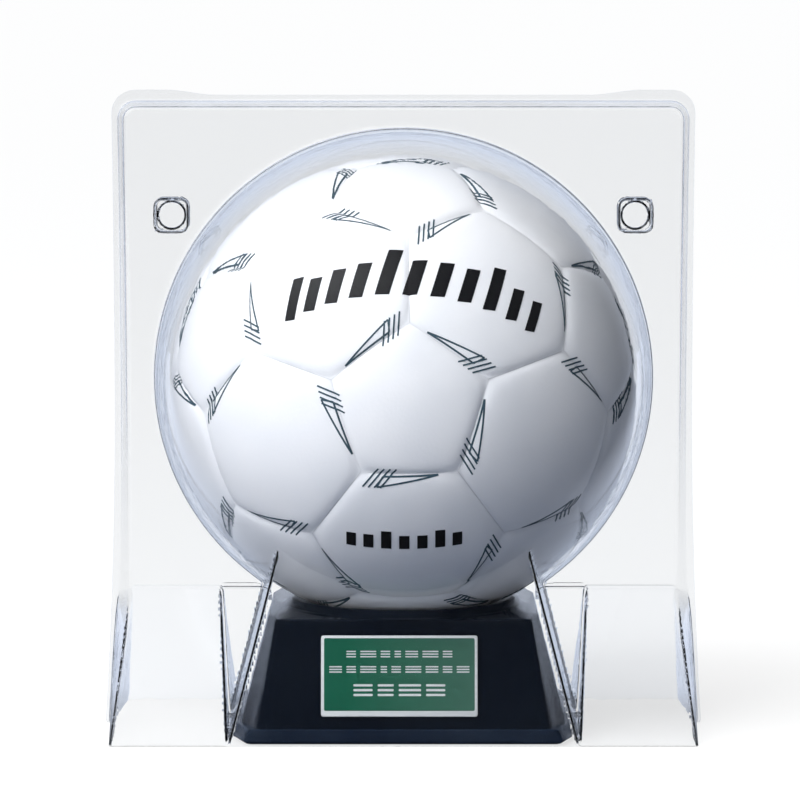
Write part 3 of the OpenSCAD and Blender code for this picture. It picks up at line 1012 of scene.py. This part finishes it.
sheet_tree.links.new(sheet_ray.outputs["Is Shadow Ray"], sheet_mix.inputs["Fac"])
sheet_tree.links.new(sheet_glass.outputs["BSDF"], sheet_mix.inputs[1])
sheet_tree.links.new(sheet_open.outputs["BSDF"], sheet_mix.inputs[2])
sheet_tree.links.new(sheet_mix.outputs["Shader"], sheet_out.inputs["Surface"])
for half, node in ((front_half, "front_shell"), (rear_half, "rear_shell")):
    half.data.materials.append(clear_sheet)
    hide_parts(node)

# ---------------------------------------------------------------------------------------------
# Floor and light. A plain pale floor that reaches the horizon under a plain white backdrop. The
# light comes from one very large soft source at the upper left in front and a soft lamp on the
# same side; to bounced and mirrored light the studio is darker elsewhere, pale behind the case.
floor_half = 200
floor_mesh = bpy.data.meshes.new("floor")
floor_mesh.from_pydata([(-floor_half, -floor_half, 0), (floor_half, -floor_half, 0),
                        (floor_half, floor_half, 0), (-floor_half, floor_half, 0)], [], [(0, 1, 2, 3)])
floor = bpy.data.objects.new("floor", floor_mesh)
bpy.context.scene.collection.objects.link(floor)


def maths(tree, operation, first, second):
    """A maths node on two sockets or numbers; gives its result."""
    node = add_node(tree, "Math")
    node.operation = operation
    for socket, value in zip(node.inputs, (first, second)):
        if isinstance(value, (int, float)):
            socket.default_value = value
        else:
            tree.links.new(value, socket)
    return node.outputs["Value"]


def seen_plainly(tree):
    """1 where the stage is looked at, straight or through the clear sheet, 0 where it gives light."""
    ray = add_node(tree, "LightPath")
    bounces = maths(tree, "ADD", ray.outputs["Glossy Depth"], ray.outputs["Diffuse Depth"])
    return maths(tree, "LESS_THAN", bounces, 0.5)


floor_paint = bpy.data.materials.new("floor_paint")
floor_paint.use_nodes = True
floor_tree = floor_paint.node_tree
floor_tree.nodes.clear()
floor_out = add_node(floor_tree, "OutputMaterial")
floor_pale = add_node(floor_tree, "BsdfDiffuse", Color=(0.24, 0.24, 0.24, 1))
floor_glow = add_node(floor_tree, "Emission", Strength=0.73)
floor_seen = add_node(floor_tree, "AddShader")
floor_dim = add_node(floor_tree, "BsdfDiffuse", Color=(0.10, 0.13, 0.20, 1))
floor_far = add_node(floor_tree, "Emission", Color=(0.78, 0.85, 1.0, 1))
floor_place = add_node(floor_tree, "TexCoord")
floor_axes = add_node(floor_tree, "SeparateXYZ")
floor_ray = add_node(floor_tree, "LightPath")
floor_tree.links.new(floor_place.outputs["Object"], floor_axes.inputs["Vector"])
floor_aside = maths(floor_tree, "SUBTRACT", maths(floor_tree, "ABSOLUTE", floor_axes.outputs["X"], 0), 0.16)
floor_aside = maths(floor_tree, "MULTIPLY", maths(floor_tree, "MAXIMUM", floor_aside, 0), 1.15)
floor_behind = maths(floor_tree, "SUBTRACT", floor_axes.outputs["Y"], floor_aside)
floor_behind = maths(floor_tree, "MULTIPLY", maths(floor_tree, "ADD", floor_behind, 0.05), 8.0)
floor_behind = maths(floor_tree, "MINIMUM", maths(floor_tree, "MAXIMUM", floor_behind, 0.02), 0.95)
floor_mirrored = maths(floor_tree, "LESS_THAN", floor_ray.outputs["Diffuse Depth"], 0.5)
floor_tree.links.new(floor_behind, floor_far.inputs["Strength"])
floor_unseen = add_node(floor_tree, "MixShader")
floor_tree.links.new(floor_mirrored, floor_unseen.inputs["Fac"])
floor_tree.links.new(floor_dim.outputs["BSDF"], floor_unseen.inputs[1])
floor_tree.links.new(floor_far.outputs["Emission"], floor_unseen.inputs[2])
floor_mix = add_node(floor_tree, "MixShader")
floor_tree.links.new(floor_pale.outputs["BSDF"], floor_seen.inputs[0])
floor_tree.links.new(floor_glow.outputs["Emission"], floor_seen.inputs[1])
floor_tree.links.new(seen_plainly(floor_tree), floor_mix.inputs["Fac"])
floor_tree.links.new(floor_unseen.outputs["Shader"], floor_mix.inputs[1])
floor_tree.links.new(floor_seen.outputs["Shader"], floor_mix.inputs[2])
floor_tree.links.new(floor_mix.outputs["Shader"], floor_out.inputs["Surface"])
floor_mesh.materials.append(floor_paint)

sky = bpy.data.worlds.new("sky")
bpy.context.scene.world = sky
sky.use_nodes = True
sky_tree = sky.node_tree
sky_tree.nodes.clear()
sky_out = add_node(sky_tree, "OutputWorld")
sky_place = add_node(sky_tree, "TexCoord")
sky_ray = add_node(sky_tree, "LightPath")
sky_side = add_node(sky_tree, "VectorMath")
sky_side.operation = "DOT_PRODUCT"
sky_side.inputs[1].default_value = Vector((-0.6, -0.5, 0.62)).normalized()
sky_tree.links.new(sky_place.outputs["Generated"], sky_side.inputs[0])
sky_toward = maths(sky_tree, "MAXIMUM", sky_side.outputs["Value"], 0)
sky_axes = add_node(sky_tree, "SeparateXYZ")
sky_tree.links.new(sky_place.outputs["Generated"], sky_axes.inputs["Vector"])
sky_mirrored = maths(sky_tree, "LESS_THAN", sky_ray.outputs["Diffuse Depth"], 0.5)
sky_key = maths(sky_tree, "MULTIPLY", maths(sky_tree, "POWER", sky_toward, 2.5), 3.5)
sky_box = maths(sky_tree, "POWER", sky_toward, 6)
sky_high = maths(sky_tree, "MULTIPLY", maths(sky_tree, "SUBTRACT", sky_axes.outputs["Z"], 0.25), 2.0)
sky_high = maths(sky_tree, "MINIMUM", maths(sky_tree, "MAXIMUM", sky_high, 0), 1)
sky_box = maths(sky_tree, "MULTIPLY", sky_box, sky_high)
sky_pick = add_node(sky_tree, "Mix")
sky_tree.links.new(sky_mirrored, sky_pick.inputs["Factor"])
sky_tree.links.new(sky_key, sky_pick.inputs["A"])
sky_tree.links.new(sky_box, sky_pick.inputs["B"])
sky_key = maths(sky_tree, "ADD", sky_pick.outputs["Result"], 0.07)
sky_behind = maths(sky_tree, "MULTIPLY", maths(sky_tree, "SUBTRACT", sky_axes.outputs["Y"], 0.70), 4.0)
sky_behind = maths(sky_tree, "MINIMUM", maths(sky_tree, "MAXIMUM", sky_behind, 0), 0.92)
sky_behind = maths(sky_tree, "MULTIPLY", sky_behind, sky_mirrored)

sky_shaders = []
for colour, strength in (((1, 1, 1, 1), 1.02), ((0.97, 0.985, 1, 1), sky_key),
                         ((0.78, 0.85, 1.0, 1), sky_behind)):
    light = add_node(sky_tree, "Background", Color=colour)
    if isinstance(strength, float):
        light.inputs["Strength"].default_value = strength
    else:
        sky_tree.links.new(strength, light.inputs["Strength"])
    sky_shaders.append(light.outputs["Background"])
sky_lit = add_node(sky_tree, "AddShader")
sky_mix = add_node(sky_tree, "MixShader")
sky_tree.links.new(sky_shaders[1], sky_lit.inputs[0])
sky_tree.links.new(sky_shaders[2], sky_lit.inputs[1])
sky_tree.links.new(seen_plainly(sky_tree), sky_mix.inputs["Fac"])
sky_tree.links.new(sky_lit.outputs["Shader"], sky_mix.inputs[1])
sky_tree.links.new(sky_shaders[0], sky_mix.inputs[2])
sky_tree.links.new(sky_mix.outputs["Shader"], sky_out.inputs["Surface"])

lamp = bpy.data.lights.new("key_light", "AREA")
lamp.shape = "RECTANGLE"
lamp.size = 0.9
lamp.size_y = 0.9
lamp.energy = 27
key_light = bpy.data.objects.new("key_light", lamp)
key_light.location = (-0.9, -1.0, 1.3)
key_light.rotation_euler = (Vector((0, 0, 0.11)) - key_light.location).to_track_quat("-Z", "Y").to_euler()
key_light.visible_glossy = False
key_light.visible_transmission = False
bpy.context.scene.collection.objects.link(key_light)
bpy.context.scene.view_settings.view_transform = "Standard"
